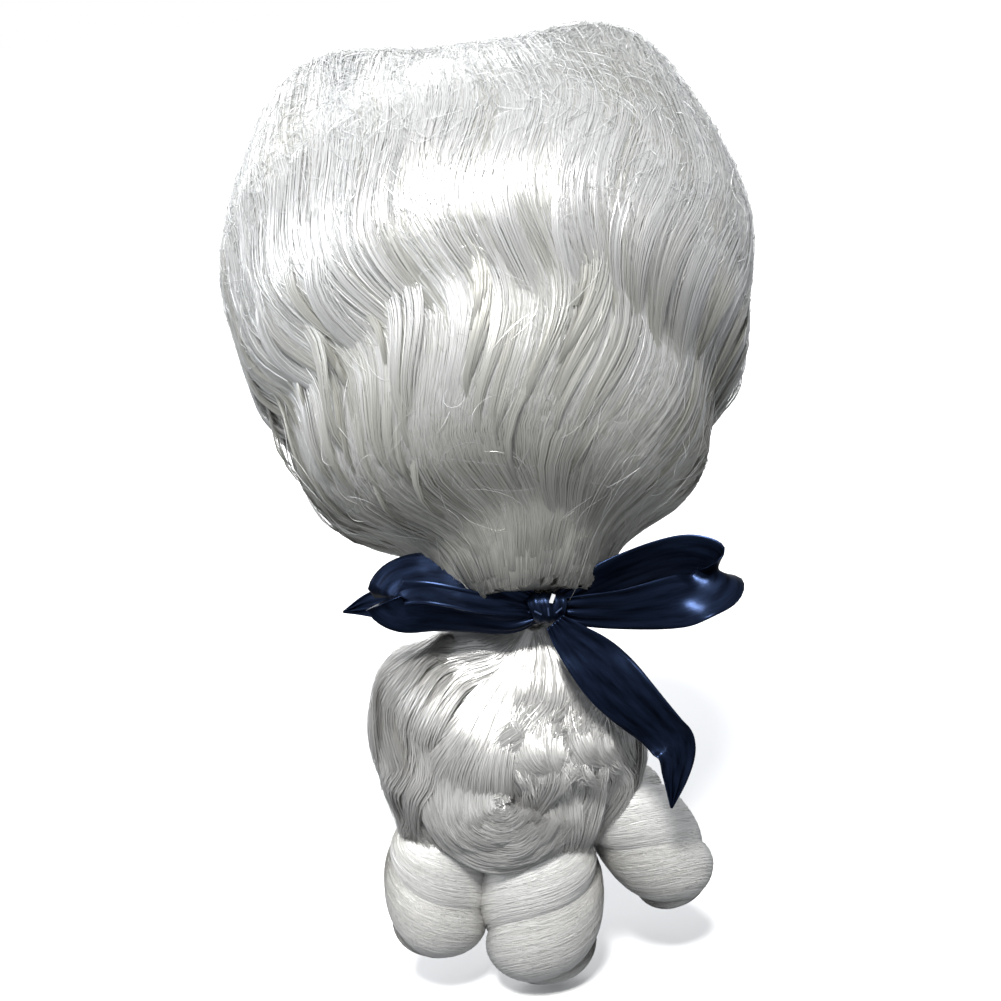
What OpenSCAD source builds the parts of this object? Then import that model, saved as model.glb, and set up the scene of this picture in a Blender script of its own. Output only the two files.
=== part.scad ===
// Costume wig in the eighteenth-century style: powdered hair on an elastic cap, swept back
// into a long curled queue that is tied with a satin bow.
// Millimetres. +Z is up, the face opening looks along -Y, and the queue hangs at +Y.
// The origin is the centre of the head opening, level with the edge over the ears.
// "left" is the wearer's left, at +X.

/* [Head opening] */
// Half width of the head space, from ear to ear
head_a = 78; // [76:0.5:80]
// Half depth of the head space, from forehead to back
head_b = 98; // [96:0.5:100]
// Height of the head space above the ears
head_c = 105; // [103:0.5:107]

/* [Hair] */
// Half width of the whole hair
hair_w = 112; // [108:1:116]
// Half depth of the whole hair
hair_d = 123; // [120:1:128]
// Height of the hair's flat top
hair_top = 117; // [115:1:121]
// How far the hair bowl curves down at the back
hair_low = 100; // [97:1:104]
// Height of the two puffs above the flat top
puff_h = 11; // [6:1:14]
// Depth of the set waves in the hair
wave_h = 2; // [1:0.5:3]

/* [Ribbon bow] */
// Width of the satin ribbon
ribbon_w = 25; // [22:1:26]
// Thickness that the ribbon is made with
ribbon_t = 1; // [0.8:0.1:1.2]
// Length of the wearer's left loop
loop_left = 51; // [46:1:54]
// Length of the wearer's right loop
loop_right = 63; // [56:1:64]

/* [Queue] */
// Half width of the queue at its fullest
queue_w = 62; // [56:1:64]
// Half depth of the queue at its fullest
queue_d = 28; // [24:1:29]
// How far the queue leans to the wearer's left
queue_lean = 6; // [0:1:7]
// Radius of the middle ringlet
curl_mid = 24.5; // [22:0.5:24.5]
// Radius of the left ringlet
curl_side = 20; // [18:0.5:20]
// Radius of the right ringlet
curl_right = 18; // [16:0.5:18]

/* [Hidden] */
$fn = 48;

hair_c = "gainsboro";
net_c = "lightgray";
tape_c = "white";
navy = "midnightblue";

// Layers, as distances out from the head: tapes, net, wefts, then hair
tape_t = [0.2, 1.2];
net_t = [2.4, 3.2];
weft_t = [4.0, 4.9];
hair_t = 6;

// The tie, and the point that the queue swings about
tie_y = 72;
tie_z = -88;
pivot = [0, tie_y, -104];
knot = [-7, 94, -89];

// Lower edge of the cap and of the hair, as the angle below or above the ears, against
// the angle round the head from the middle of the forehead
CAP_EDGE = [[0, 32], [25, 30], [38, 22], [48, 8], [58, 0], [110, 0], [122, -20],
    [134, -36], [146, -41], [180, -42]];
HAIR_EDGE = [[0, 33], [24, 31], [36, 21], [46, 4], [55, -12], [64, -20], [90, -29],
    [115, -37], [135, -43], [155, -47], [180, -49]];

// Heights of the weft rows and how far round each runs from the back
WEFTS = [[58, 179], [45, 179], [33, 150], [21, 138], [9, 128], [-4, 66], [-16, 60], [-28, 53]];

function unit(v) = v / norm(v);
function from_front(a) = let (d = abs(((a + 90) % 360 + 360) % 360)) min(d, 360 - d);
function cap_edge(a) = lookup(from_front(a), CAP_EDGE);
function hair_edge(a) = lookup(from_front(a), HAIR_EDGE);

// A point t mm outside the head, at elevation e and azimuth a
function head_pt(e, a, t) = let (p = [head_a * cos(e) * cos(a), head_b * cos(e) * sin(a),
    head_c * sin(e)]) p + t * unit(p);

// One of the two puffs that stand up over the temples
function puff(u, side) = puff_h * exp(-pow(norm(u - unit([side * 62, -8, 116])) / 0.24, 2));

// How far out the hair reaches in direction u: round in plan, flat on top, with a bowl
// that narrows to the tie, and shallow set waves
function hair_r(u) = let (
        narrow = 1 - 0.15 * min(1, max(0, (0.35 - u.z) / 1.0)),
        round_plan = pow(pow(abs(u.x) / (hair_w * narrow), 2.2) + pow(abs(u.y) / hair_d, 2.2), 1 / 2.2),
        n = u.z > 0 ? 2.7 : 2.2,
        tall = u.z > 0 ? hair_top : hair_low)
    pow(pow(round_plan, n) + pow(abs(u.z) / tall, n), -1 / n)
    + puff(u, 1) + puff(u, -1)
    + wave_h * cos(u.z * 470 + 40) * min(1, norm([u.x, u.y]) * 1.2);
function hair_pt(e, a) = let (u = unit(head_pt(e, a, 0))) u * hair_r(u);

function mix(a, b, k) = a + (b - a) * k;
function quad(a, b, c, d) = [[a, b, c], [a, c, d]];

// A closed solid between an outer and an inner grid of points. Rows run upwards and
// columns run anticlockwise seen from above.
module skin(outer, inner) {
    rows = len(outer) - 1;
    cols = len(outer[0]) - 1;
    n = (rows + 1) * (cols + 1);
    function at(r, c) = r * (cols + 1) + c;
    polyhedron(points = [each [for (r = outer) each r], each [for (r = inner) each r]],
        faces = [
            for (r = [0:rows - 1], c = [0:cols - 1])
                each quad(at(r, c), at(r + 1, c), at(r + 1, c + 1), at(r, c + 1)),
            for (r = [0:rows - 1], c = [0:cols - 1])
                each quad(n + at(r, c), n + at(r, c + 1), n + at(r + 1, c + 1), n + at(r + 1, c)),
            for (c = [0:cols - 1]) each quad(at(0, c), at(0, c + 1), n + at(0, c + 1), n + at(0, c)),
            for (c = [0:cols - 1])
                each quad(at(rows, c + 1), at(rows, c), n + at(rows, c), n + at(rows, c + 1)),
            for (r = [0:rows - 1]) each quad(at(r + 1, 0), at(r, 0), n + at(r, 0), n + at(r + 1, 0)),
            for (r = [0:rows - 1])
                each quad(at(r, cols), at(r + 1, cols), n + at(r + 1, cols), n + at(r, cols))
        ]);
}

// A closed dome between an outer and an inner set of rings, each with a point on top
module dome(outer, inner, top_out, top_in) {
    rows = len(outer) - 1;
    cols = len(outer[0]);
    n = (rows + 1) * cols + 1;
    function at(r, c) = r * cols + (c % cols);
    polyhedron(points = [each [for (r = outer) each r], top_out, each [for (r = inner) each r], top_in],
        faces = [
            for (r = [0:rows - 1], c = [0:cols - 1])
                each quad(at(r, c), at(r + 1, c), at(r + 1, c + 1), at(r, c + 1)),
            for (r = [0:rows - 1], c = [0:cols - 1])
                each quad(n + at(r, c), n + at(r, c + 1), n + at(r + 1, c + 1), n + at(r + 1, c)),
            for (c = [0:cols - 1]) [at(rows, c), n - 1, at(rows, c + 1)],
            for (c = [0:cols - 1]) [n + at(rows, c), n + at(rows, c + 1), 2 * n - 1],
            for (c = [0:cols - 1]) each quad(at(0, c), at(0, c + 1), n + at(0, c + 1), n + at(0, c))
        ]);
}

// A strip of tape on the head from azimuth a0 to a1, e_low(a) up to e_low(a) + tall
module tape(a0, a1, low, tall, t, cols = 16, rows = 1) {
    function grid(d) = [for (r = [0:rows]) [for (c = [0:cols])
        let (a = mix(a0, a1, c / cols)) head_pt(low(a) + tall * r / rows, a, d)]];
    skin(grid(t[1]), grid(t[0]));
}

// A mass of hair from azimuth a0 to a1 and between two heights
module hair_mass(a0, a1, low, high, cols, rows) {
    function es(a, r) = mix(low(a), high(a), r / rows);
    skin([for (r = [0:rows]) [for (c = [0:cols])
            let (a = mix(a0, a1, c / cols)) hair_pt(es(a, r), a)]],
        [for (r = [0:rows]) [for (c = [0:cols])
            let (a = mix(a0, a1, c / cols)) head_pt(es(a, r), a, hair_t)]]);
}

// ---- Cap ----

// Elastic net that makes the cap, from the edge bands to the crown
module crown_net() {
    cols = 36;
    rows = 14;
    function ring(r, t) = [for (c = [0:cols - 1]) let (a = 360 * c / cols)
        head_pt(mix(cap_edge(a) + 0.6, 80, r / rows), a, t)];
    color(net_c) dome([for (r = [0:rows]) ring(r, net_t[1])], [for (r = [0:rows]) ring(r, net_t[0])],
        head_pt(90, 0, net_t[1]), head_pt(90, 0, net_t[0]));
}

// Soft band along the forehead
module front_band() {
    color(tape_c) tape(-137, -43, function(a) cap_edge(a) + 0.5, 7, tape_t, 20);
}

// Elastic edge over an ear
module ear_band(side) {
    color(tape_c) tape(side > 0 ? -41 : 161, side > 0 ? 19 : 221,
        function(a) max(0, cap_edge(a)) + 0.6, 4, tape_t, 12);
}

// Elastic band along the nape
module nape_band() {
    color(tape_c) tape(33, 147, function(a) cap_edge(a) + 0.5, 6, tape_t, 20);
}

// Flat arc of elastic between two angles of an ellipse, b half across and c up
module strap_arc(b, c, from, to, wide) {
    function p(a, t) = let (q = [b * cos(a), c * sin(a)]) q + t * q / norm(q);
    steps = 24;
    rotate([90, 0, 0]) translate([0, 0, -wide / 2]) linear_extrude(wide) polygon([
        for (i = [0:steps]) p(mix(from, to, i / steps), tape_t[1]),
        for (i = [steps:-1:0]) p(mix(from, to, i / steps), tape_t[0])]);
}

// Elastic straps under the net: one from forehead to nape, two up from the ears
module crown_strap_centre() {
    color(tape_c) rotate([0, 0, 90]) strap_arc(head_b, head_c, -33, 139, 10);
}

module crown_strap_side(side) {
    color(tape_c) mirror([side > 0 ? 0 : 1, 0, 0]) strap_arc(head_a, head_c, 6, 85, 10);
}

// Blank label sewn inside the back of the cap
module care_label() {
    color("white") translate(head_pt(-14, 90, -1)) rotate([-13, 0, 0]) cube([12, 0.6, 18], center = true);
}

// Sewn rows of hair outside the net, counted down from the crown
module weft_row(i) {
    e = WEFTS[i - 1][0];
    reach = WEFTS[i - 1][1];
    color("silver") tape(90 - reach, 90 + reach, function(a) e, 3, weft_t, reach > 100 ? 30 : 14);
}

// Shaped tab in front of an ear; it bends inwards about its top edge
module ear_tab(side) {
    rows = 3;
    cols = 6;
    function low(a) = -14 + 9 * pow(abs(a + 38) / 8, 3);
    function grid(t) = [for (r = [0:rows]) [for (c = [0:cols])
        let (a = mix(-46, -30, c / cols)) head_pt(mix(low(a), -1, r / rows), a, t)]];
    color(tape_c) mirror([side > 0 ? 0 : 1, 0, 0]) skin(grid(1.6), grid(0.4));
}

// Bendable stay sewn on the inner side of the tab
module ear_stay(side) {
    function grid(t) = [for (e = [-12, -7, -2.2]) [for (a = [-39.2, -36.8]) head_pt(e, a, t)]];
    color("silver") mirror([side > 0 ? 0 : 1, 0, 0]) skin(grid(0.1), grid(-0.7));
}

// Elastic strap that draws the nape in; sewn at its outer end, hooked at its inner end
module adjuster_strap(side) {
    color(tape_c) mirror([side > 0 ? 0 : 1, 0, 0])
        tape(54, 75, function(a) -39.5, 3.2, [-1.6, -0.6], 6);
}

// Small wire hook at the strap's inner end
module adjuster_hook(side) {
    color("silver") mirror([side > 0 ? 0 : 1, 0, 0]) translate(head_pt(-37.9, 76, -2.4))
        rotate([0, 0, -12]) {
            translate([-3.8, 0, 0]) rotate([0, 90, 0]) cylinder(r = 0.5, h = 3.4, $fn = 24);
            translate([-3.8, -1.6, 0]) rotate([0, 0, 90])
                rotate_extrude(angle = 180, $fn = 32) translate([1.6, 0]) circle(0.5, $fn = 24);
            translate([-3.8, -3.2, 0]) rotate([0, 90, 0]) cylinder(r = 0.5, h = 2, $fn = 24);
        }
}

// Three thread loops on the nape band for each hook
module adjuster_loops(side) {
    color("silver") mirror([side > 0 ? 0 : 1, 0, 0])
        for (a = [83.4, 86.2, 89]) translate(head_pt(-37.9, a, -2.4)) rotate([0, 90, a - 90])
            rotate_extrude($fn = 32) translate([1.9, 0]) circle(0.35, $fn = 16);
}

// ---- Hair on the head ----

// Flat teased hair on top
module hair_crown() {
    cols = 28;
    function ring(f) = [for (e = [66, 72, 78, 84]) [for (c = [0:cols - 1]) f(e, 360 * c / cols)]];
    color(hair_c) dome(ring(function(e, a) hair_pt(e, a)), ring(function(e, a) head_pt(e, a, hair_t)),
        hair_pt(90, 0), head_pt(90, 0, hair_t));
}

// Hair combed up and back from the forehead
module hair_front() {
    color(hair_c) hair_mass(-134, -46, function(a) hair_edge(a), function(a) 65.2, 14, 5);
}

// Puff over a temple
module hair_puff(side) {
    color(hair_c) mirror([side > 0 ? 0 : 1, 0, 0])
        hair_mass(-45.2, 34, function(a) 38, function(a) 65.2, 12, 5);
}

// Hair swept back over an ear
module hair_side(side) {
    color(hair_c) mirror([side > 0 ? 0 : 1, 0, 0])
        hair_mass(-45.2, 34, function(a) hair_edge(a), function(a) 37.2, 12, 9);
}

// Back of the hair, above and below the widest line
module hair_back_upper() {
    color(hair_c) hair_mass(35, 145, function(a) 0.4, function(a) 65.2, 18, 9);
}

module hair_back_lower() {
    color(hair_c) hair_mass(35, 145, function(a) hair_edge(a), function(a) -0.4, 18, 7);
}

// Neck of hair that the bowl is drawn into, inside the tie
module hair_gather() {
    color(hair_c) translate([0, tie_y, 0]) rotate_extrude()
        polygon([[0, -97.4], [9.4, -97.4], [10.2, -96], [10.2, -87.6], [0, -87.6]]);
}

// ---- Tie and bow ----

// Elastic round the neck of hair
module tie_elastic() {
    color("white") translate([0, tie_y, tie_z]) rotate_extrude() translate([12.4, 0]) circle(1.7, $fn = 24);
}

// Turn of ribbon round the elastic
module bow_wrap() {
    color(navy) translate([0, tie_y, -97.2]) difference() {
        cylinder(r = 15.6, h = 11);
        translate([0, 0, -1]) cylinder(r = 14.8, h = 13);
    }
}

// Knot of the bow, in front of the turn of ribbon
module bow_knot() {
    color(navy) translate(knot) rotate([0, 90, 0])
        rotate_extrude() polygon([[0, -7], [4, -7], [4.8, -5], [4.8, 5], [4, 7], [0, 7]]);
}

// Thread that holds the knot
module bow_stitches() {
    color(navy) for (i = [-1:1]) translate(knot + [4 * i, 5.4, 0])
        rotate([0, 55 * i, 0]) translate([0, 0, -1.5]) cylinder(r = 0.3, h = 3, $fn = 24);
}

// Cut end of the plastic tag fastener
module tag_stub() {
    color("white") translate(knot + [-2, 5.6, 5]) rotate([0, -25, 0]) cube([1.4, 0.8, 3.4], center = true);
}

// Closed loop of ribbon: a teardrop seen from above, as tall as the ribbon is wide
module bow_loop(long, fat, tall) {
    steps = 20;
    function shape(x, y, grow) = [for (i = [0:steps - 1]) let (a = 360 * i / steps)
        [x + (long / 2 + grow) * (1 - cos(a)) - grow, y + (fat / 2 + grow) * sin(a) * pow(sin(a / 2), 0.8)]];
    translate([0, 0, -tall / 2]) linear_extrude(tall) difference() {
        polygon(shape(0, 0, 0));
        polygon(shape(ribbon_t * 1.6, 0, -ribbon_t));
    }
}

module bow_loop_left() {
    color(navy) translate(knot + [8.5, -1, 0]) rotate([0, -11, -3])
        bow_loop(loop_left, 15, ribbon_w);
}

module bow_loop_right() {
    color(navy) translate(knot + [-8.5, -1, 0]) mirror([1, 0, 0]) rotate([0, -4, -6])
        bow_loop(loop_right, 17, ribbon_w);
}

// Left tail, lying behind the left loop with its cut point past it
module bow_tail_left() {
    color(navy) translate(knot + [13, -6, 0]) rotate([0, 0, -18]) rotate([90, 0, 0])
        linear_extrude(ribbon_t) polygon([[0, 5], [34, 9], [50, 7], [66, 0], [48, -7], [24, -9], [0, -5]]);
}

// Right tail, lying down over the queue, in two lengths that meet at a fold
module bow_tail_right() {
    color(navy) translate(knot + [0, 5, 0]) rotate([7, 0, 0]) rotate([90, 0, 0])
        linear_extrude(ribbon_t) polygon([[-1, -6.4], [-11, -6.6], [-31, -22], [-46, -50], [-32, -56], [-14, -32]]);
}

module bow_tail_right_tip() {
    color(navy) translate(knot + [0, 12.2, 0]) rotate([90, 0, 0])
        linear_extrude(ribbon_t) polygon([[-33, -57.5], [-46.6, -51.5], [-47, -61], [-38, -80], [-34, -68]]);
}

// ---- Queue ----

// Everything below the tie leans with the queue
module leaning() {
    translate(pivot) rotate([0, -queue_lean, 0]) children();
}

// Envelope of the queue: half width and half depth against the drop below the pivot
function half_w(z) = queue_w * lookup(-z, [[7, 0.6], [12, 0.85], [20, 0.98], [32, 1.04], [50, 1.01], [80, 0.86]]);
function half_d(z) = queue_d * lookup(-z, [[7, 0.28], [12, 0.42], [20, 0.66], [32, 0.88], [50, 1], [80, 0.9]]);
function levels(low) = [for (k = [0, 0.08, 0.2, 0.33, 0.46, 0.6, 0.7, 0.8, 0.88, 0.95, 1]) mix(low, -7, k)];

// Lock of the queue: a sector of the envelope that is rounded across and sways as it falls
module queue_lock(a0, a1, low, cols) {
    function turn(z) = 8 * sin((-z - 7) * 5);
    function grid(outer) = [for (z = levels(low)) [for (c = [0:cols]) let (
            k = c / cols, a = mix(a0, a1, k) + turn(z),
            full = outer ? 0.86 + 0.14 * pow(sin(180 * k), 0.5) : 0.5)
        [full * half_w(z) * cos(a), full * half_d(z) * sin(a), z]]];
    skin(grid(true), grid(false));
}

// Ball of bound hair just under the tie
module queue_root() {
    color(hair_c) translate(pivot) sphere(6);
}

// Straight hair in the middle of the queue
module queue_core() {
    cols = 20;
    function ring(z) = [for (c = [0:cols - 1]) let (a = 360 * c / cols)
        [0.46 * half_w(z) * cos(a), 0.46 * half_d(z) * sin(a), z]];
    rings = [for (z = levels(-66)) ring(z)];
    rows = len(rings) - 1;
    n = (rows + 1) * cols;
    function at(r, c) = r * cols + (c % cols);
    color(hair_c) leaning()
        polyhedron(points = [each [for (r = rings) each r], [0, 0, -66], [0, 0, -7]], faces = [
            for (r = [0:rows - 1], c = [0:cols - 1])
                each quad(at(r, c), at(r + 1, c), at(r + 1, c + 1), at(r, c + 1)),
            for (c = [0:cols - 1]) [at(0, c), at(0, c + 1), n],
            for (c = [0:cols - 1]) [at(rows, c + 1), at(rows, c), n + 1]
        ]);
}

module queue_wave_left() { color(hair_c) leaning() queue_lock(-24, 58, -79, 10); }
module queue_wave_centre() { color(hair_c) leaning() queue_lock(60, 116, -79, 8); }
module queue_wave_right() { color(hair_c) leaning() queue_lock(118, 204, -64, 10); }
module queue_under() { color(hair_c) leaning() queue_lock(206, 334, -64, 12); }

// Sausage ringlet: a round top that turns about its own centre, then a barrel with soft
// ridges that narrows a little to its rounded end
module ringlet(r, long) {
    function wide(z) = r * (1 - 0.025 * (1 - cos(z * 26)) - 0.10 * z / long);
    rotate([180, 0, 0]) rotate_extrude() polygon([
        [0, -r],
        for (a = [-75:15:0]) [r * cos(a), r * sin(a)],
        for (i = [1:8]) let (z = (long - r * 0.5) * i / 8) [wide(z), z],
        for (a = [25:20:85]) [wide(long - r * 0.5) * cos(a), long - r * 0.5 + r * 0.5 * sin(a)],
        [0, long]]);
}

module ringlet_left() {
    color(hair_c) leaning() translate([40, -2, -100]) ringlet(curl_side, 37);
}

module ringlet_centre() {
    color(hair_c) leaning() translate([-5, 3, -104.5]) ringlet(curl_mid, 41);
}

module ringlet_right() {
    color(hair_c) leaning() translate([-43, -6, -84.5]) rotate([0, 35, 0]) ringlet(curl_right, 40);
}

crown_net();
front_band();
ear_band(1);  // ear_band_left
ear_band(-1);  // ear_band_right
nape_band();
crown_strap_centre();
crown_strap_side(1);  // crown_strap_left
crown_strap_side(-1);  // crown_strap_right
care_label();
weft_row(1);  // weft_row_1
weft_row(2);  // weft_row_2
weft_row(3);  // weft_row_3
weft_row(4);  // weft_row_4
weft_row(5);  // weft_row_5
weft_row(6);  // weft_row_6
weft_row(7);  // weft_row_7
weft_row(8);  // weft_row_8
ear_tab(1);  // ear_tab_left
ear_tab(-1);  // ear_tab_right
ear_stay(1);  // ear_stay_left
ear_stay(-1);  // ear_stay_right
adjuster_strap(1);  // adjuster_strap_left
adjuster_strap(-1);  // adjuster_strap_right
adjuster_hook(1);  // adjuster_hook_left
adjuster_hook(-1);  // adjuster_hook_right
adjuster_loops(1);  // adjuster_loops_left
adjuster_loops(-1);  // adjuster_loops_right
hair_crown();
hair_front();
hair_puff(1);  // hair_puff_left
hair_puff(-1);  // hair_puff_right
hair_side(1);  // hair_side_left
hair_side(-1);  // hair_side_right
hair_back_upper();
hair_back_lower();
hair_gather();
tie_elastic();
bow_wrap();
bow_knot();
bow_stitches();
tag_stub();
bow_loop_left();
bow_loop_right();
bow_tail_left();
bow_tail_right();
bow_tail_right_tip();
queue_root();
queue_core();
queue_wave_left();
queue_wave_centre();
queue_wave_right();
queue_under();
ringlet_left();
ringlet_centre();
ringlet_right();
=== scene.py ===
import math

import bpy
import numpy as np
from mathutils import Matrix, Vector


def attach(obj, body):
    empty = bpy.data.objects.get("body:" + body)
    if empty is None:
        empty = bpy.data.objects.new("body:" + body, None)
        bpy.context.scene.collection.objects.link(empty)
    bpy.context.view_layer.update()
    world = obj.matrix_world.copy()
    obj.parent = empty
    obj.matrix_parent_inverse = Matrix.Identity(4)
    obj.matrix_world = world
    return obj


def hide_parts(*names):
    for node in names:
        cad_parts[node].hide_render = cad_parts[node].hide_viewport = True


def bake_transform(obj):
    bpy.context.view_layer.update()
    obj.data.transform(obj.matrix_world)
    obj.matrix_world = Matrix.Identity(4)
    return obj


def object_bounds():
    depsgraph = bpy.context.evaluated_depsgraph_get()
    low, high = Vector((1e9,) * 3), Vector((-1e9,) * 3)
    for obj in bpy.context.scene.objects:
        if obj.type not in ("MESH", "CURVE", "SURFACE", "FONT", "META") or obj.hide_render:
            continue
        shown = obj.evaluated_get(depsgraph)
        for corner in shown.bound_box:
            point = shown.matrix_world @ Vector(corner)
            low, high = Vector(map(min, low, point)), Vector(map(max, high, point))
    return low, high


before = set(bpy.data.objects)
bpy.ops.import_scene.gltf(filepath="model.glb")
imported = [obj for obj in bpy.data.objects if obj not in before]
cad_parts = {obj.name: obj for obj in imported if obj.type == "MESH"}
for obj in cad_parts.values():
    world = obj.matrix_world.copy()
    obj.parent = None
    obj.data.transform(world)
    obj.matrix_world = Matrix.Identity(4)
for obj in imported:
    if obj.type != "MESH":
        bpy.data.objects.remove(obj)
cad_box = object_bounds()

# ---- Camera, studio light and floor ----
# The wig hangs as it would on a stand and is seen from behind and a little above,
# tipped a few degrees to one side. One broad lamp stands high behind the camera.
look_at = Vector((0.006, 0.010, -0.0655))
look_down = math.radians(13.5)
tip = math.radians(-6.75)
camera_far = 0.9
away = Vector((0, math.cos(look_down), math.sin(look_down)))
across = Vector((-1, 0, 0))
upward = Vector((0, -math.sin(look_down), math.cos(look_down)))
frame_right = across * math.cos(tip) + upward * math.sin(tip)
frame_up = upward * math.cos(tip) - across * math.sin(tip)
lens = bpy.data.cameras.new("studio_camera")
lens.lens = 78.15
lens.sensor_width = 36
lens.clip_end = 100
camera = bpy.data.objects.new("studio_camera", lens)
camera.matrix_world = (Matrix.Translation(look_at + away * camera_far)
                       @ Matrix((frame_right, frame_up, away)).transposed().to_4x4())
bpy.context.scene.collection.objects.link(camera)
bpy.context.scene.camera = camera
bpy.context.scene.view_settings.view_transform = "Standard"


def lamp(name, kind, azimuth, height, power, soft, tint=(1, 1, 1), far=1.6):
    data = bpy.data.lights.new(name, kind)
    data.energy = power
    data.color = tint
    a, e = math.radians(azimuth), math.radians(height)
    way = Vector((math.cos(a) * math.cos(e), math.sin(a) * math.cos(e), math.sin(e)))
    if kind == "SUN":
        data.angle = math.radians(soft)
    else:
        data.shape = "DISK"
        data.size = soft
    ob = bpy.data.objects.new(name, data)
    ob.location = look_at + way * far
    ob.rotation_euler = (-way).to_track_quat("-Z", "Y").to_euler()
    bpy.context.scene.collection.objects.link(ob)


lamp("key_lamp", "SUN", 84, 52, 4.3, 13, (1.0, 0.99, 0.975))
lamp("side_lamp", "AREA", 10, 28, 7, 0.8, (0.93, 0.96, 1.0))
lamp("front_lamp", "AREA", -75, 28, 15, 1.2)

world = bpy.data.worlds.new("studio_room")
bpy.context.scene.world = world
world.use_nodes = True
room = world.node_tree
room.nodes["Background"].inputs["Color"].default_value = (0.93, 0.96, 1.0, 1)
facing = room.nodes.new("ShaderNodeTexCoord")
height = room.nodes.new("ShaderNodeSeparateXYZ")
dome = room.nodes.new("ShaderNodeMapRange")
for socket, value in (("From Min", -0.5), ("From Max", 0.9), ("To Min", 0.25), ("To Max", 0.66)):
    dome.inputs[socket].default_value = value
room.links.new(facing.outputs["Generated"], height.inputs[0])
room.links.new(height.outputs["Z"], dome.inputs["Value"])
room.links.new(dome.outputs[0], room.nodes["Background"].inputs["Strength"])
wall = room.nodes.new("ShaderNodeBackground")
wall.inputs["Color"].default_value = (1.0, 1.0, 1.0, 1)
seen = room.nodes.new("ShaderNodeLightPath")
either = room.nodes.new("ShaderNodeMixShader")
room.links.new(seen.outputs["Is Camera Ray"], either.inputs[0])
room.links.new(room.nodes["Background"].outputs[0], either.inputs[1])
room.links.new(wall.outputs[0], either.inputs[2])
room.links.new(either.outputs[0], room.nodes["World Output"].inputs["Surface"])


def finish_of(name, rough=0.5, metal=0.0):
    mat = bpy.data.materials.new(name)
    mat.use_nodes = True
    nodes, links = mat.node_tree.nodes, mat.node_tree.links
    skin = nodes["Principled BSDF"]
    skin.inputs["Roughness"].default_value = rough
    skin.inputs["Metallic"].default_value = metal

    def add(kind, **values):
        node = nodes.new(kind)
        for key, value in values.items():
            if key in node.inputs.keys():
                node.inputs[key].default_value = value
            else:
                setattr(node, key, value)
        return node

    def join(a, b, out=0, into=0):
        links.new(a.outputs[out], b.inputs[into])

    def ramp(*stops):
        node = nodes.new("ShaderNodeValToRGB")
        while len(node.color_ramp.elements) < len(stops):
            node.color_ramp.elements.new(0.5)
        for el, (at, colour) in zip(node.color_ramp.elements, stops):
            el.position = at
            el.color = (*colour, 1) if len(colour) == 3 else colour
        return node

    return mat, skin, add, join, ramp


floor_gap = 0.003
floor_half = 60
floor_level = cad_box[0][2] - floor_gap
floor_mesh = bpy.data.meshes.new("studio_floor")
floor_corners = ((-1, -1), (1, -1), (1, 1), (-1, 1))
floor_mesh.from_pydata([(x * floor_half, y * floor_half, floor_level) for x, y in floor_corners],
                       [], [(0, 1, 2, 3)])
floor = bpy.data.objects.new("studio_floor", floor_mesh)
bpy.context.scene.collection.objects.link(floor)
paper, skin, add, join, ramp = finish_of("pale_paper", 0.9)
grain = add("ShaderNodeTexNoise", Scale=3.0, Detail=2.0)
tone = ramp((0.3, (0.955, 0.955, 0.955)), (0.7, (0.975, 0.975, 0.975)))
join(grain, tone)
join(tone, skin, 0, "Base Color")
floor_mesh.materials.append(paper)
floor.visible_diffuse = False
floor.visible_glossy = False

# ---- Cap ----
# A stretch cap of knotted net on white elastic. Bands edge it, three straps cross under
# the net, and two hooked straps draw the nape in.


def cad_finish(mat, *names):
    for name in names:
        slots = bpy.data.objects[name].data.materials
        slots.clear()
        slots.append(mat)


def woven(name, colour, dark, across_mm, along_mm, rough=0.8, deep=0.35):
    mat, skin, add, join, ramp = finish_of(name, rough)
    place = add("ShaderNodeTexCoord")
    ribs = add("ShaderNodeTexWave", Scale=1000 / across_mm / 6.28, Distortion=1.2, Detail=2.0)
    ribs.bands_direction = "Z"
    knit = add("ShaderNodeTexVoronoi", Scale=1000 / along_mm)
    fuzz = add("ShaderNodeTexNoise", Scale=160.0, Detail=5.0)
    for node in (ribs, knit, fuzz):
        join(place, node, "Object", "Vector")
    mixed = add("ShaderNodeMath", operation="MULTIPLY_ADD")
    mixed.inputs[1].default_value = 0.5
    join(ribs, mixed, "Fac", 0)
    join(knit, mixed, "Distance", 2)
    tone = ramp((0.15, dark), (0.75, colour))
    join(mixed, tone)
    worn = add("ShaderNodeMixRGB", blend_type="MULTIPLY", Fac=0.35)
    join(tone, worn, 0, 1)
    join(fuzz, worn, "Fac", 2)
    join(worn, skin, 0, "Base Color")
    bump = add("ShaderNodeBump", Strength=deep, Distance=0.0004)
    join(mixed, bump, 0, "Height")
    join(bump, skin, 0, "Normal")
    skin.inputs["Sheen Weight"].default_value = 0.25
    return mat


elastic = woven("white_elastic", (0.86, 0.86, 0.83), (0.52, 0.52, 0.50), 0.9, 0.7)
weft_cloth = woven("weft_stitching", (0.74, 0.74, 0.72), (0.40, 0.40, 0.39), 0.6, 0.5)
label_cloth = woven("label_satin", (0.88, 0.88, 0.87), (0.70, 0.70, 0.69), 0.4, 0.3, 0.45, 0.15)
cad_finish(elastic, "front_band", "ear_band_left", "ear_band_right", "nape_band",
           "crown_strap_centre", "crown_strap_left", "crown_strap_right",
           "ear_tab_left", "ear_tab_right", "adjuster_strap_left", "adjuster_strap_right")
cad_finish(weft_cloth, *("weft_row_%d" % i for i in range(1, 9)),
           "adjuster_loops_left", "adjuster_loops_right")
cad_finish(label_cloth, "care_label")

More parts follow.
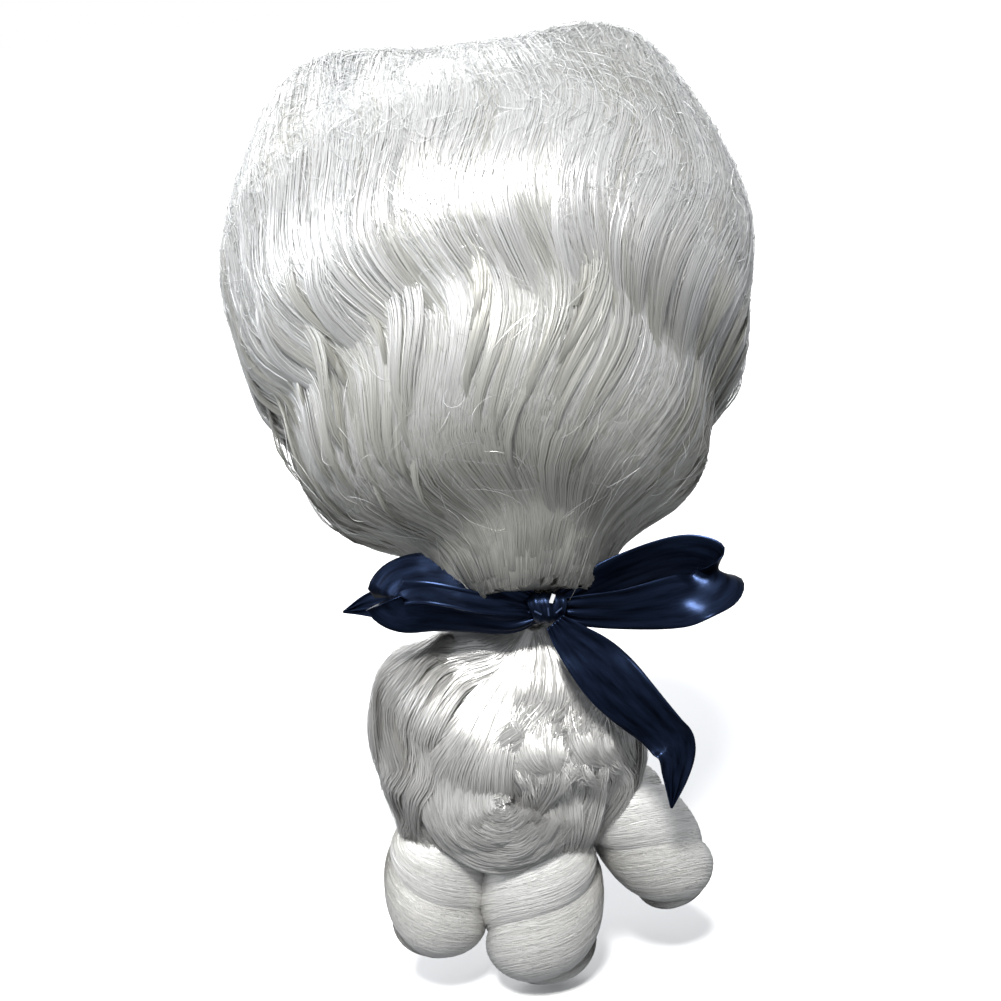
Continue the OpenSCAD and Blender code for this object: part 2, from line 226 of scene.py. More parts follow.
wire, skin, add, join, ramp = finish_of("plated_wire", 0.28, 0.95)
spots = add("ShaderNodeTexNoise", Scale=700.0, Detail=4.0)
tone = ramp((0.3, (0.42, 0.42, 0.43)), (0.7, (0.72, 0.72, 0.73)))
join(spots, tone)
join(tone, skin, 0, "Base Color")
cad_finish(wire, "adjuster_hook_left", "adjuster_hook_right", "ear_stay_left", "ear_stay_right")

net_cloth = woven("cap_net", (0.80, 0.80, 0.78), (0.30, 0.30, 0.29), 1.4, 1.1)
cad_finish(net_cloth, "crown_net")

# ---- Hair on the head ----
# White modacrylic fibre, sewn in rows round the cap and combed back from the forehead
# to one tie at the nape. Set waves cross it, the top is teased and the sides puffed.
head_half = (78, 98, 105)
hair_half = (108, 123)
hair_top, hair_low = 117, 100
hair_egg = np.array([112, 123, 108])
hair_round = 110
puff_high, puff_wide = 11, 0.24
gather_high, gather_at, gather_wide = 15, 0.175, 0.14
brow = np.array([0, -0.9, 0.436])
tie_way = np.array([0, 0.64, -0.768])
tie_centre = np.array([0, 72, -88])


def unit(v):
    return v / np.maximum(np.linalg.norm(v, axis=-1, keepdims=True), 1e-9)


def ease(x, low, high):
    t = np.clip((x - low) / (high - low), 0, 1)
    return t * t * (3 - 2 * t)


def cap_reach(u):
    return 1 / np.linalg.norm(u / np.array(head_half), axis=-1)


def hair_reach(u):
    x, y, z = u[..., 0], u[..., 1], u[..., 2]
    narrow = 1 - 0.21 * np.clip(0.35 - z, 0, 1)
    plan = ((np.abs(x) / (hair_half[0] * narrow)) ** 2.2 + (np.abs(y) / hair_half[1]) ** 2.2) ** (1 / 2.2)
    n = np.where(z > 0, 2.7, 2.2)
    tall = np.where(z > 0, hair_top, hair_low)
    reach = (plan ** n + (np.abs(z) / tall) ** n) ** (-1 / n)
    for side in (1, -1):
        puff = unit(np.array([side * 62, -8, 116]))
        reach = reach + puff_high * np.exp(-(np.linalg.norm(u - puff, axis=-1) / puff_wide) ** 2)
    from_tie = np.linalg.norm(u - unit(tie_way), axis=-1)
    behind = ease(y + 0.8 * z, -0.02, 0.16)
    return reach + gather_high * np.exp(-((from_tie - gather_at) / gather_wide) ** 2) * behind


chord = unit(tie_way - brow)
middle = (brow + tie_way) / 2
rise = unit(-middle - (-middle @ chord) * chord)
sink = np.linalg.norm(middle)


def combed(s, k):
    """Direction of the hair at s along its fall (0 brow, 1 tie) and k round the head (-1 to 1)."""
    edge = np.interp(s, [0, 0.15, 0.3, 0.5, 0.7, 0.85, 1], [102, 104, 110, 102, 95, 91, 88])
    turn = np.radians(k * edge)
    out = np.cos(turn)[..., None] * rise + np.sin(turn)[..., None] * np.array([1, 0, 0])
    r = np.sqrt(1 - (sink * np.sin(turn)) ** 2)
    full = np.arccos(np.clip(-sink * np.cos(turn) / r, -1, 1))
    angle = full * (2 * s - 1)
    spread = sink * np.cos(turn) + r * np.cos(angle)
    u = middle + spread[..., None] * out + (r * np.sin(angle))[..., None] * chord
    return unit(u), np.maximum(spread, 0.0), np.radians(edge)


def hairline(k):
    return np.interp(np.abs(k), [0, 0.66, 0.83, 0.95, 1], [0.035, 0.117, 0.188, 0.289, 0.40])


fall_mm = 410
wave_mm = 84
wave_high, wave_sway = 4.2, 6.0
scalp_gap = 5.5


def set_wave(s, k, late, strength):
    """Height and sideways sway of the set waves, each from -1 to 1."""
    along = s * fall_mm
    drift = 0.5 * np.sin(2.7 * k + 0.6) + 0.4 * np.sin(7.3 * k + 2.0)
    phase = 2 * np.pi * along / wave_mm + drift + late
    fade = 1 - ease(s, 0.90, 0.98)
    high = np.sin(phase - 2 * np.pi * 297 / wave_mm) * ease(s, 0.52, 0.70)
    sway = -np.cos(phase - 2 * np.pi * 288 / wave_mm) * ease(s, 0.40, 0.62)
    return strength * fade * high, strength * fade * sway


def on_head(s, k, lift, late=0.0, strength=1.0):
    """Points in mm on the combed hair: lift is the height above its even surface."""
    high, sway = set_wave(s, k, late, strength)
    _, spread, edge = combed(s, k)
    swing = wave_sway * sway * np.minimum(1, spread * 1.3)
    k2 = k + swing / (hair_round * np.maximum(spread, 0.16) * edge)
    u, spread, _ = combed(s, k2)
    reach = hair_reach(u) + wave_high * high * np.minimum(1, spread * 1.5) + lift
    root = cap_reach(u) + scalp_gap
    begin = hairline(k)
    grown = ease(s, begin - 0.002, begin + 0.085)
    grown = np.minimum(grown, 0.12 + 0.88 * ease(1 - np.abs(k), -0.02, 0.10))
    return u * (root + (reach - root) * grown ** 0.6)[..., None], u


hair_rng = np.random.default_rng(1776)


def hair_finish(name, rough, metal, pale, shade, nape=(1, 1, 1), fine=90.0):
    mat, skin, add, join, ramp = finish_of(name, rough, metal)
    place = add("ShaderNodeUVMap", uv_map="OFBake")
    stretch = add("ShaderNodeMapping")
    stretch.inputs["Scale"].default_value = (fine, 2.4, 1)
    join(place, stretch, 0, "Vector")
    strand = add("ShaderNodeTexNoise", Scale=1.0, Detail=3.0)
    join(stretch, strand, 0, "Vector")
    tone = ramp((0.32, shade), (0.68, pale))
    join(strand, tone, "Fac")
    length = add("ShaderNodeSeparateXYZ")
    join(place, length)
    # Along each fibre the colour darkens toward its far end, to 0.86 times the nape colour. On the head's
    # hair, where the nape colour is set, this is painted shade standing in for the shade under the bowl
    # toward the tie. The root end is also a little darker.
    tint = ramp((0.0, (0.93, 0.93, 0.93)), (0.12, (1, 1, 1)), (0.46, (1, 1, 1)), (0.74, nape),
                (1.0, tuple(c * 0.86 for c in nape)))
    join(length, tint, "Y")
    deep = add("ShaderNodeMixRGB", blend_type="MULTIPLY", Fac=1.0)
    join(tone, deep, 0, 1)
    join(tint, deep, 0, 2)
    join(deep, skin, 0, "Base Color")
    gloss = add("ShaderNodeMapRange")
    gloss.inputs["To Min"].default_value = rough - 0.06
    gloss.inputs["To Max"].default_value = rough + 0.10
    join(strand, gloss, "Fac", 0)
    join(gloss, skin, 0, "Roughness")
    return mat


# Painted shade: the head's fibre colour toward the tie is darkened with this colour, in place of the shade
# under the bowl.
nape_painted_shade = (0.84, 0.835, 0.78)
white_hair = hair_finish("white_hair", 0.31, 0.55, (0.80, 0.80, 0.795), (0.73, 0.73, 0.72), nape_painted_shade)
# Painted shade: the teased crown fibre, also used for the flyaways, is the same white fibre in a darker grey.
# The grey stands in for the darker look of the crown.
matte_hair = hair_finish("teased_hair", 0.5, 0.25, (0.66, 0.67, 0.67), (0.56, 0.57, 0.57))
under_hair = hair_finish("under_hair", 0.34, 0.55, (0.78, 0.78, 0.77), (0.70, 0.70, 0.69), nape_painted_shade,
                         fine=240.0)


def mesh_of(name, points, quads, uvs, mat, body):
    """A smooth mesh from points in mm, four-cornered faces and one UV for each point."""
    mesh = bpy.data.meshes.new(name)
    mesh.vertices.add(len(points))
    mesh.vertices.foreach_set("co", (np.asarray(points) * 0.001).astype(np.float32).ravel())
    mesh.loops.add(quads.size)
    mesh.loops.foreach_set("vertex_index", quads.ravel().astype(np.int32))
    mesh.polygons.add(len(quads))
    mesh.polygons.foreach_set("loop_start", np.arange(0, quads.size, 4, dtype=np.int32))
    mesh.polygons.foreach_set("use_smooth", np.ones(len(quads), dtype=bool))
    layer = mesh.uv_layers.new(name="OFBake")
    layer.data.foreach_set("uv", np.asarray(uvs)[quads.ravel()].astype(np.float32).ravel())
    mesh.update(calc_edges=True)
    mesh.materials.append(mat)
    ob = bpy.data.objects.new(name, mesh)
    bpy.context.scene.collection.objects.link(ob)
    if body:
        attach(ob, body)
    return ob


def sheet_quads(rows, cols, around=False):
    i, j = np.meshgrid(np.arange(rows - 1), np.arange(cols if around else cols - 1), indexing="ij")
    a, b = i * cols + j, i * cols + (j + 1) % cols
    return np.stack([a, b, b + cols, a + cols], -1).reshape(-1, 4)


def strands(name, path, face, half, roll, mat, body, rng=hair_rng):
    """Fibres as narrow strips: path and face are (fibre, step, 3), half is (fibre, step)."""
    n, m = path.shape[:2]
    along = unit(np.gradient(path, axis=1))
    side = unit(np.cross(face, along))
    out = np.cross(along, side)
    c, s = np.cos(roll)[:, None, None], np.sin(roll)[:, None, None]
    side, out = side * c + out * s, out * c - side * s
    half = half[..., None]
    points = np.stack([path - side * half, path + side * half], 2)
    first = (np.arange(n)[:, None] * m + np.arange(m - 1)[None]).ravel() * 2
    quads = np.stack([first, first + 2, first + 3, first + 1], -1)
    tint = rng.random(n) * 0.99
    uv = np.empty((n, m, 2, 2))
    uv[..., 0] = tint[:, None, None] + np.array([0, 0.008])
    uv[..., 1] = np.linspace(0.005, 0.995, m)[None, :, None]
    return mesh_of(name, points.reshape(-1, 3), quads, uv.reshape(-1, 2), mat, body)


def hair_padding(name, k0, k1, s0, s1, mat, sunk, *nodes):
    """The closed mass under the fibres, between the cap and just below the surface."""
    rows, cols = 90, 60
    k = np.linspace(k0, k1, cols)[None, :] * np.ones((rows, 1))
    f = np.linspace(0, 1, rows)[:, None]
    low = np.maximum(hairline(k), s0)
    s = low + (s1 - low) * f
    outer, u = on_head(s, k, -sunk - 5 * ease(f, 0.90, 1.0) - 5 * (1 - ease(f, 0.05, 0.38)))
    inner = u * (cap_reach(u) + 5.2)[..., None]
    pts = np.concatenate([outer.reshape(-1, 3), inner.reshape(-1, 3)])
    grid = sheet_quads(rows, cols)
    n = rows * cols
    rim = np.concatenate([np.arange(cols), np.arange(2 * cols - 1, n, cols),
                          np.arange(n - 2, n - cols - 1, -1), np.arange(n - 2 * cols, 0, -cols)])
    nxt = np.roll(rim, -1)
    side = np.stack([rim, rim + n, nxt + n, nxt], -1)
    quads = np.concatenate([grid, grid[:, ::-1] + n, side])
    uv = np.stack([(k - k0) / (k1 - k0), s], -1).reshape(-1, 2)
    uv = np.concatenate([uv * (0.48, 0.98) + (0.01, 0.01), uv * (0.48, 0.98) + (0.51, 0.01)])
    ob = mesh_of(name, pts, quads, uv, mat, "wig")
    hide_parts(*nodes)
    return ob


hair_padding("hair_padding", -1, 1, 0, 0.965, under_hair, 0.9,
             "hair_crown", "hair_front", "hair_puff_left", "hair_puff_right", "hair_side_left",
             "hair_side_right", "hair_back_upper", "hair_back_lower", "hair_gather")


def comb_locks(name, count, fibres, k_range, root_range, end_range, width, deep, mat,
               strength=1.0, fine=0.13, steps=24, messy=0.3, dome=0.6, late_by=0.22, point=0.0,
               body="wig"):
    """Locks of fibres combed from their roots to the tie; each lock is domed across."""
    rng = hair_rng
    n = count * fibres

    def each(low, high):
        return np.repeat(low + (high - low) * rng.random(count), fibres)

    k_mid = each(*k_range)
    wide = each(*width)
    depth = each(*deep)
    late = np.repeat(rng.normal(0, late_by, count), fibres)
    root = hairline(k_mid) + each(*root_range)
    end = each(*end_range)
    tuft = np.repeat(rng.uniform(-1, 1, (count, fibres // 6 + 1)), 6, axis=1)[:, :fibres].ravel()
    t = np.where(rng.random(n) < 0.85, rng.uniform(-1, 1, n), tuft * 0.85 + rng.normal(0, 0.12, n))
    s = root[:, None] + (end - root)[:, None] * np.linspace(0, 1, steps)[None]
    _, spread, edge = combed(s, k_mid[:, None] * np.ones(steps))
    reach_mm = hair_round * edge
    drift = (np.repeat(rng.normal(0, 2.0, count), fibres)[:, None]
             * np.sin(s * 9 + each(0, 6.28)[:, None]))
    loose = rng.normal(0, 0.8 * messy, n)[:, None] * np.sin(s * rng.uniform(8, 26, n)[:, None]
                                                            + rng.uniform(0, 6.28, n)[:, None])
    f = np.linspace(0, 1, steps)[None]
    closing = 1 - point * ease(f, 0.45, 1.0)
    k = k_mid[:, None] + (t * wide / 2)[:, None] * closing / reach_mm + (drift + loose) / reach_mm
    k = np.clip(k, -1.02, 1.02)
    narrowing = np.minimum(1, spread * 1.6)
    lift = (-depth[:, None] + dome * (1 - t ** 2)[:, None] * narrowing
            + rng.normal(0, 0.35 * messy, n)[:, None]
            + rng.normal(0, 0.5 * messy, n)[:, None] * np.sin(s * rng.uniform(10, 30, n)[:, None]
                                                              + rng.uniform(0, 6.28, n)[:, None]))
    lift = lift - 4.5 * (1 - ease(f, 0, 0.16)) - 2.5 * ease(f, 0.93, 1.0)
    path, u = on_head(s, k, lift, late[:, None], strength)
    half = fine * rng.uniform(0.75, 1.25, n)[:, None] * (1 - 0.6 * ease(f, 0.88, 1)) * np.ones((n, steps))
    if end_range[1] > 0.95:
        into = path[:, -3] - tie_centre
        into = unit(into * np.array([1, 1, 0]))
        path[:, -2] = tie_centre + into * rng.uniform(9, 12.6, n)[:, None] + [0, 0, 2.8]
        path[:, -1] = tie_centre + into * rng.uniform(6, 9.6, n)[:, None] - [0, 0, 5]
    face = unit(path / hair_egg ** 2)
    parts = max(1, math.ceil(n * (steps - 1) * 2 / 190000))
    size = math.ceil(count / parts) * fibres
    for part in range(parts):
        cut = slice(part * size, (part + 1) * size)
        ob = strands(name if parts == 1 else "%s_%d" % (name, part + 1), path[cut], face[cut], half[cut],
                     rng.normal(0, 0.16, n)[cut], mat, body)


side_names = {1: "left", -1: "right"}
comb_locks("hair_back_under", 120, 60, (-0.62, 0.62), (0.25, 0.42), (0.955, 0.975), (12, 26), (0.2, 0.8),
           white_hair, dome=0.4, fine=0.17)
comb_locks("hair_back", 190, 72, (-0.60, 0.60), (0.20, 0.48), (0.955, 0.975), (8, 26), (-0.3, 0.4),
           white_hair)
comb_locks("hair_back_loose", 64, 46, (-0.56, 0.56), (0.30, 0.50), (0.68, 0.86), (6, 14), (-1.2, -0.2),
           white_hair, dome=1.0, late_by=0.75, point=0.75)
for side, word in side_names.items():
    comb_locks("hair_side_%s_under" % word, 50, 50, (0.45 * side, 0.98 * side), (0.0, 0.14),
               (0.955, 0.975), (10, 22), (0.3, 1.0), white_hair, dome=0.4, fine=0.17)
    comb_locks("hair_side_%s_locks" % word, 56, 56, (0.48 * side, 0.98 * side), (0.02, 0.25),
               (0.955, 0.975), (7, 22), (-0.3, 0.5), white_hair)
    comb_locks("hair_side_%s_loose" % word, 20, 40, (0.50 * side, 0.95 * side), (0.10, 0.40),
               (0.68, 0.86), (5, 12), (-1.2, -0.2), white_hair, dome=1.0, late_by=0.7, point=0.7)
comb_locks("hair_front_locks", 130, 60, (-0.80, 0.80), (-0.004, 0.04), (0.55, 0.80), (8, 20), (-0.4, 0.8),
           white_hair, messy=0.8)
comb_locks("hair_crown_locks", 80, 50, (-0.75, 0.75), (0.08, 0.30), (0.56, 0.78), (8, 20), (-0.4, 1.8),
           matte_hair, messy=1.6)


def teased(name, count, k_range, s_range, long_mm, stray, lift, half, mat, seed):
    """Short fibres roughed up against the comb, each a wandering curl."""
    rng = np.random.default_rng(seed)
    steps = 16
    f = np.linspace(-0.5, 0.5, steps)[None]
    s0 = rng.uniform(*s_range, count)[:, None]
    k0 = rng.uniform(*k_range, count)[:, None]
    turn = rng.normal(0, stray, count)[:, None]
    long = rng.uniform(*long_mm, count)[:, None]
    bend = rng.normal(0, 1.3, count)[:, None]
    heading = turn + bend * f * 2
    curl = rng.uniform(0, 6.28, (2, count))[..., None]
    turns = rng.uniform(4, 11, (2, count))[..., None]
    dx = np.cumsum(np.sin(heading) * long / steps, 1) + 1.1 * np.sin(curl[0] + turns[0] * f)
    ds = np.cumsum(np.cos(heading) * long / steps, 1)
    up = rng.uniform(*lift, count)[:, None] + 1.2 * np.sin(curl[1] + turns[1] * f)
    s = s0 + ds / fall_mm
    _, spread, edge = combed(s, k0 * np.ones(steps))
    k = k0 + dx / (hair_round * np.maximum(spread, 0.2) * edge)
    path, u = on_head(s, k, up)
    face = unit(path / hair_egg ** 2)
    thick = half * rng.uniform(0.7, 1.2, count)[:, None] * np.sin(np.pi * (f + 0.5) * 0.9 + 0.15)
    ob = strands(name, path, face, thick, rng.normal(0, 0.5, count), mat, "wig", rng)
    return ob


teased("teased_crown", 6200, (-0.78, 0.78), (0.16, 0.50), (14, 38), 0.7, (-0.6, 2.2), 0.13, matte_hair, 51)
teased("teased_fringe", 3800, (-0.70, 0.70), (0.28, 0.60), (12, 30), 0.5, (-0.6, 1.8), 0.11, matte_hair, 53)
teased("loose_back", 420, (-0.7, 0.7), (0.45, 0.84), (20, 60), 0.4, (0.6, 2.6), 0.08, white_hair, 52)
teased("flyaway_hairs", 520, (-0.96, 0.96), (0.16, 0.84), (18, 55), 0.6, (1.5, 5.0), 0.06, matte_hair, 54)

# ---- Tie and bow ----
# An elastic holds the neck of hair. Navy satin ribbon, 25 mm wide, goes round it and is
# knotted into two loops and two pointed tails; a few stitches fix the knot.
knot = np.array([-7, 94, -89])
ribbon_thick = 0.35


def smooth_line(points, count):
    """A curve through the points, evenly counted."""
    p = np.asarray(points, float)
    p = np.concatenate([2 * p[:1] - p[1:2], p, 2 * p[-1:] - p[-2:-1]])
    t = np.linspace(0, len(p) - 3 - 1e-6, count)
    i = t.astype(int)
    f = (t - i)[:, None]
    a, b, c, d = p[i], p[i + 1], p[i + 2], p[i + 3]
    return 0.5 * (2 * b + (c - a) * f + (2 * a - 5 * b + 4 * c - d) * f ** 2
                  + (3 * b - 3 * c + d - a) * f ** 3)


def satin_finish(name, deep, lit):
    mat, skin, add, join, ramp = finish_of(name, 0.29, 0.8)
    place = add("ShaderNodeUVMap", uv_map="OFBake")
    threads = add("ShaderNodeMapping")
    threads.inputs["Scale"].default_value = (260, 26, 1)
    join(place, threads, 0, "Vector")
    slub = add("ShaderNodeTexNoise", Scale=1.0, Detail=4.0)
    join(threads, slub, 0, "Vector")
    cloud = add("ShaderNodeTexNoise", Scale=7.0, Detail=3.0)
    join(place, cloud, 0, "Vector")
    both = add("ShaderNodeMath", operation="MULTIPLY_ADD")
    both.inputs[1].default_value = 0.6
    join(slub, both, "Fac", 0)
    join(cloud, both, "Fac", 2)
    tone = ramp((0.55, deep), (1.05, lit))
    join(both, tone)
    edge = add("ShaderNodeSeparateXYZ")
    join(place, edge)
    selvedge = ramp((0.0, (1.7, 1.7, 1.7)), (0.035, (1, 1, 1)), (0.965, (1, 1, 1)), (1.0, (1.7, 1.7, 1.7)))
    join(edge, selvedge, "X")
    dyed = add("ShaderNodeMixRGB", blend_type="MULTIPLY", Fac=1.0)
    join(tone, dyed, 0, 1)
    join(selvedge, dyed, 0, 2)
    join(dyed, skin, 0, "Base Color")
    bump = add("ShaderNodeBump", Strength=0.12, Distance=0.0002)
    join(slub, bump, "Fac", "Height")
    join(bump, skin, 0, "Normal")
    skin.inputs["Specular IOR Level"].default_value = 0.12
    return mat


satin = satin_finish("navy_satin", (0.002, 0.0036, 0.009), (0.016, 0.027, 0.062))


def ribbon(name, spine, sides, widths, body, nodes, pleat=0.0, folds=3.0,
           rows=72):
    """A strip of ribbon: its middle line, the way its width runs and how wide it is there."""
    cols = 17
    line = smooth_line(spine, rows)
    side = unit(smooth_line(sides, rows))
    wide = smooth_line(np.array(widths, float)[:, None], rows)[:, 0]
    along = unit(np.gradient(line, axis=0))
    side = unit(side - (side * along).sum(-1, keepdims=True) * along)
    out = np.cross(along, side)
    w = np.linspace(-0.5, 0.5, cols)[None, :]
    full = max(widths)
    gather = np.clip(1 - wide / full, 0, 1)[:, None]
    ripple = pleat * gather * np.sin(w * 2 * np.pi * folds + 0.8)
    cup = 0.5 * np.cos(w * np.pi) * (1 - gather)
    pts = (line[:, None] + side[:, None] * (w * wide[:, None])[..., None]
           + out[:, None] * (ripple + cup)[..., None])
    uv = np.stack([(w + 0.5) * np.ones((rows, 1)) * 0.99 + 0.005,
                   np.linspace(0.005, 0.995, rows)[:, None] * np.ones((1, cols))], -1)
    ob = mesh_of(name, pts.reshape(-1, 3), sheet_quads(rows, cols), uv.reshape(-1, 2), satin, body)
    thick = ob.modifiers.new("thickness", "SOLIDIFY")
    thick.thickness = ribbon_thick * 0.001
    thick.offset = 0
    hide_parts(*nodes)
    return ob


def from_knot(rows):
    return [knot + np.array(r) for r in rows]


ribbon("bow_loop_left_ribbon",
       from_knot([(4, 0, 1), (12, 2, 5.5), (24, 3, 11), (36, 2, 15.5), (47, 0, 17.5), (56, -2.5, 15.5),
                  (59.5, -2, 10.5), (54, 0.5, 7.5), (43, 1.5, 6), (29, 2, 2.5), (14, 1.5, -2), (4, 0, -1)]),
       [(0, -0.1, 1), (-0.15, -0.35, 0.95), (-0.25, -0.7, 0.75), (-0.25, -0.78, 0.68), (-0.15, -0.7, 0.7),
        (0, -0.6, 0.8), (0, -0.35, 0.95), (-0.1, -0.05, 1), (-0.15, 0.2, 0.95), (-0.15, 0.3, 0.95),
        (-0.1, 0.15, 1), (0, 0, 1)],
       [8, 13, 20, 22.5, 22, 20, 20, 21, 21, 19, 13, 8], "bow_loop_left", ["bow_loop_left"],
       pleat=1.3)
ribbon("bow_loop_right_ribbon",
       from_knot([(-4, -1, 1), (-12, -3, 3), (-28, -6, 7), (-44, -8, 10.5), (-57, -8, 11), (-66, -5, 7.5),
                  (-66, -1, 2), (-58, 3, -1.5), (-46, 4.5, -2.5), (-28, 4, -3), (-12, 2, -2), (-4, 0, -1)]),
       [(0, 0, 1), (0, 0.15, 1), (0, 0.35, 0.95), (0.1, 0.4, 0.9), (0.2, 0.25, 0.95), (0.3, 0, 0.95),
        (0.4, -0.4, 0.85), (0.5, -0.62, 0.65), (0.25, -0.1, 0.95), (0, 0.3, 0.95), (0, 0.2, 1), (0, 0, 1)],
       [8, 14, 20, 21, 20, 20, 20, 20, 20, 18, 13, 8], "bow_loop_right", ["bow_loop_right"],
       pleat=1.3)
ribbon("bow_tail_left_ribbon",
       from_knot([(5, -4, -3), (13, -6.5, -2), (26, -11, 0), (42, -16, 2), (56, -20.5, 3), (68, -24, 2.5),
                  (79, -27, 0)]),
       [(0.1, 0, 1), (0.1, -0.2, 1), (0, -0.5, 0.9), (-0.1, -0.5, 0.85), (-0.1, -0.45, 0.9),
        (-0.2, -0.4, 0.95), (-0.3, -0.3, 1)],
       [7, 11, 17, 19, 16, 10, 0.6], "bow_tail_left", ["bow_tail_left"],
       pleat=1.0)
tail = ribbon("bow_tail_right_ribbon",
              from_knot([(-2, 6, -4), (-7, 7, -11), (-16, 9, -22), (-27, 11, -37), (-37.5, 12.5, -50),
                         (-42, 12.8, -58), (-41, 12.6, -68), (-38, 12.4, -81)]),
              [(1, 0, 0.1), (0.9, 0.1, -0.35), (0.85, 0.35, -0.5), (0.85, -0.15, -0.55), (0.85, -0.35, -0.45),
               (0.9, 0.2, -0.2), (0.95, 0.25, 0.1), (1, 0.1, 0.2)],
              [8, 14, 21.5, 22, 19.5, 16, 11, 0.6], "", ["bow_tail_right", "bow_tail_right_tip"],
              pleat=1.2)
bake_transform(tail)

rows, cols = 48, 13
turn = np.linspace(0, 2 * np.pi, rows)[:, None] * np.ones((1, cols))
w = np.linspace(-1, 1, cols)[None] * np.ones((rows, 1))


def closed_band(name, pts, body, node):
    uv = np.stack([(w + 1) / 2 * 0.99 + 0.005, turn / 6.2832 * 0.99 + 0.005], -1)
    ob = mesh_of(name, pts.reshape(-1, 3), sheet_quads(rows, cols), uv.reshape(-1, 2), satin, body)
    thick = ob.modifiers.new("thickness", "SOLIDIFY")
    thick.thickness = ribbon_thick * 0.001
    thick.offset = 0
    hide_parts(node)


ring = 15.1 + 0.35 * np.sin(w * 11 + 0.7 * np.sin(turn * 2))
closed_band("bow_wrap_ribbon", np.stack([ring * np.cos(turn), tie_centre[1] + ring * np.sin(turn),
                                         -91.7 + 5.4 * w + 0.6 * np.sin(turn + 1)], -1),
            "wig", "bow_wrap")
plump = 4.7 * (1 - 0.16 * w ** 4) + 0.35 * np.sin(w * 12 + 1.3 * np.sin(turn))
closed_band("bow_knot_ribbon", np.stack([knot[0] + 6.6 * w + 0.8 * np.sin(turn * 2) * w,
                                         knot[1] + plump * 0.96 * np.sin(turn),
                                         knot[2] + plump * 1.25 * np.cos(turn) + 0.5 * w], -1),
            "wig", "bow_knot")

thread, skin, add, join, ramp = finish_of("navy_thread", 0.7)
twist = add("ShaderNodeTexNoise", Scale=2600.0, Detail=2.0)
tone = ramp((0.35, (0.012, 0.022, 0.06)), (0.7, (0.05, 0.09, 0.20)))
join(twist, tone)
join(tone, skin, 0, "Base Color")
cad_finish(thread, "bow_stitches")
tag, skin, add, join, ramp = finish_of("tag_nylon", 0.35)
cloud = add("ShaderNodeTexNoise", Scale=900.0, Detail=2.0)
tone = ramp((0.3, (0.74, 0.75, 0.76)), (0.7, (0.90, 0.90, 0.90)))
join(cloud, tone)
join(tone, skin, 0, "Base Color")
cad_finish(tag, "tag_stub")
cad_finish(elastic, "tie_elastic")

# ---- Queue ----
# The hair below the tie: it spreads at once, falls in waves and turns under in one broad
# roll at the back. Its layers are cut at different lengths.
pivot = np.array([0, 72, -104])
lean = math.radians(-6)
queue_half = (62, 28)


def sideways_turn(angle):
    c, s = math.cos(angle), math.sin(angle)
    return np.array([[c, 0, s], [0, 1, 0], [-s, 0, c]])


lean_turn = sideways_turn(lean)


def leaned(p):
    return pivot + np.asarray(p, float) @ lean_turn.T


def queue_wide(z):
    return queue_half[0] * np.interp(-z, [-6, 0, 7, 12, 20, 32, 50, 80, 92],
                                     [0.13, 0.50, 0.80, 0.92, 1.0, 1.04, 1.01, 0.88, 0.74])


def queue_thick(z):
    return queue_half[1] * np.interp(-z, [-6, 0, 7, 12, 20, 32, 50, 80, 92],
                                     [0.28, 0.26, 0.36, 0.46, 0.68, 0.88, 1.0, 0.92, 0.75])


def queue_slim(z):
    """Half width on the wearer's right, where the queue is cut in under the ribbon tail."""
    return np.interp(-z, [-6, 0, 8, 18, 34, 50, 62, 80, 92], [8, 15, 24, 33, 42, 44, 41, 32, 24])


def on_queue(x, z, front=1, out=0.0):
    """A point on the queue's surface; front is 1 on its outer face and -1 on its inner one."""
    half = np.where(x > 0, queue_wide(z), queue_slim(z))
    across = np.clip(x / half, -0.97, 0.97)
    x = across * half
    return np.stack([x, front * queue_thick(z) * np.sqrt(1 - across ** 2) + out * front, z], -1)


def wander(f, count, rng):
    """A loose sway along each fibre, from -1 to 1, that starts at nothing."""
    turns = rng.uniform(4, 14, count)[:, None]
    return np.sin(f * turns + rng.uniform(0, 6.28, count)[:, None]) * ease(f, 0, 0.3)


def lock_fibres(spine, wide, thick, count, rng, steps=22, root=0.3, spread_ends=0.06, stray=0.6,
                tips=0.4):
    """Paths of the fibres of one lock: narrow at its root, rounded across, uneven at its end."""
    line = smooth_line(spine, 64)
    along = unit(np.gradient(line, axis=0))
    core = np.array([0, 0, -40])
    out = unit((line - core) * np.array([0.35, 1, 0.12]))
    side = unit(np.cross(out, along))
    out = np.cross(along, side)
    start = rng.uniform(0, 0.04, count)[:, None]
    end = 1 - np.abs(rng.normal(0, spread_ends, count))[:, None]
    f = start + (end - start) * np.linspace(0, 1, steps)[None]
    at = f * 63
    i = np.clip(at.astype(int), 0, 62)
    g = (at - i)[..., None]
    pos = line[i] * (1 - g) + line[i + 1] * g
    sd, ot = unit(side[i] * (1 - g) + side[i + 1] * g), unit(out[i] * (1 - g) + out[i + 1] * g)
    tuft = np.repeat(rng.uniform(-1, 1, count // 6 + 1), 6)[:count]
    a = np.where(rng.random(count) < 0.85, rng.uniform(-1, 1, count),
                 0.8 * tuft + rng.normal(0, 0.13, count))
    a = np.clip(a, -1, 1)[:, None]
    b = np.sqrt(np.clip(1 - a ** 2, 0, 1)) * rng.uniform(0.35, 1, count)[:, None]
    grow = root + (1 - root) * ease(f, 0, 0.3)
    grow = grow * (1 - tips * ease(f, 0.7, 1.0))
    aside = a * wide / 2 * grow + stray * wander(f, count, rng)
    raised = b * thick * grow - thick * 0.4 + 0.5 * stray * wander(f, count, rng)
    return pos + sd * aside[..., None] + ot * raised[..., None], ot


queue_rng = np.random.default_rng(77)


